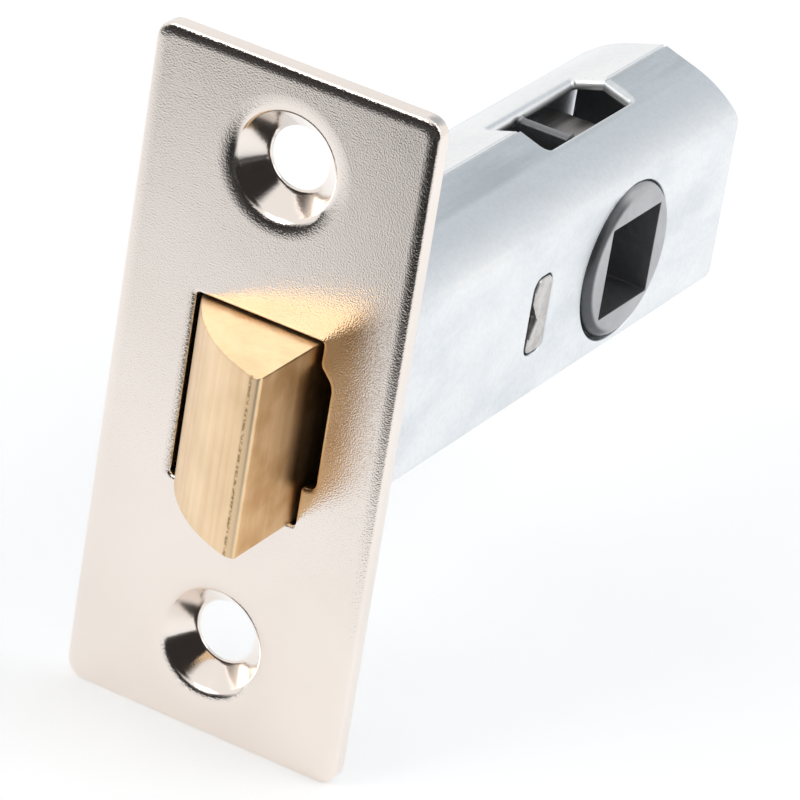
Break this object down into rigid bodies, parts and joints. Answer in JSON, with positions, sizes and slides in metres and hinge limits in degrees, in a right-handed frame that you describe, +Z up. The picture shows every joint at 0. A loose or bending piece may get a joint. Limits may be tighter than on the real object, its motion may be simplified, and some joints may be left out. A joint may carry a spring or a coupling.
{
  "type": "tubular latch",
  "caption": "Tubular mortice door latch with a nickel-plated forend, a bevelled brass bolt and a folded zinc-plated case with a square spindle hole",
  "frame": {"origin": "centre of the forend's front face, in the plane of the door's edge", "axes": "+X across the forend away from the bolt's bevel, +Y back along the case into the door, +Z up the forend"},
  "size_m": [0.025, 0.0724, 0.057],
  "materials": {
    "forend_nickel": "bright nickel plate with a fine orange-peel grain",
    "case_zinc": "satin zinc-plated sheet",
    "bolt_brass": "drawn and lightly brushed",
    "steel_plain": "plain pressed steel",
    "spring_wire": "drawn spring wire",
    "follower_casting": "matt grey casting"
  },
  "bodies": {
    "case": {"forend": "forend_nickel", "case": "case_zinc", "spring_stop": "steel_plain", "end_plate": "case_zinc"},
    "bolt": {"latch_bolt": "bolt_brass", "bolt_screw": "steel_plain", "retractor": "steel_plain", "bolt_spring": "spring_wire"},
    "follower": {"follower": "follower_casting"}
  },
  "joints": [
    {"name": "follower_turn", "type": "hinge", "parent": "case", "child": "follower", "pos_m": [0, 0.0462, 0], "axis": [-1, 0, 0], "range_deg": [0, 56]},
    {"name": "bolt_slide", "type": "slide", "parent": "case", "child": "bolt", "axis": [0, 1, 0], "range_m": [0, 0.0087], "stiffness_N_per_m": 400, "springref_m": -0.004, "deforming": ["bolt_spring"]}
  ],
  "couplings": [
    {"joint": "follower_turn", "follows": "bolt_slide", "rad_per_m": 112.3}
  ]
}
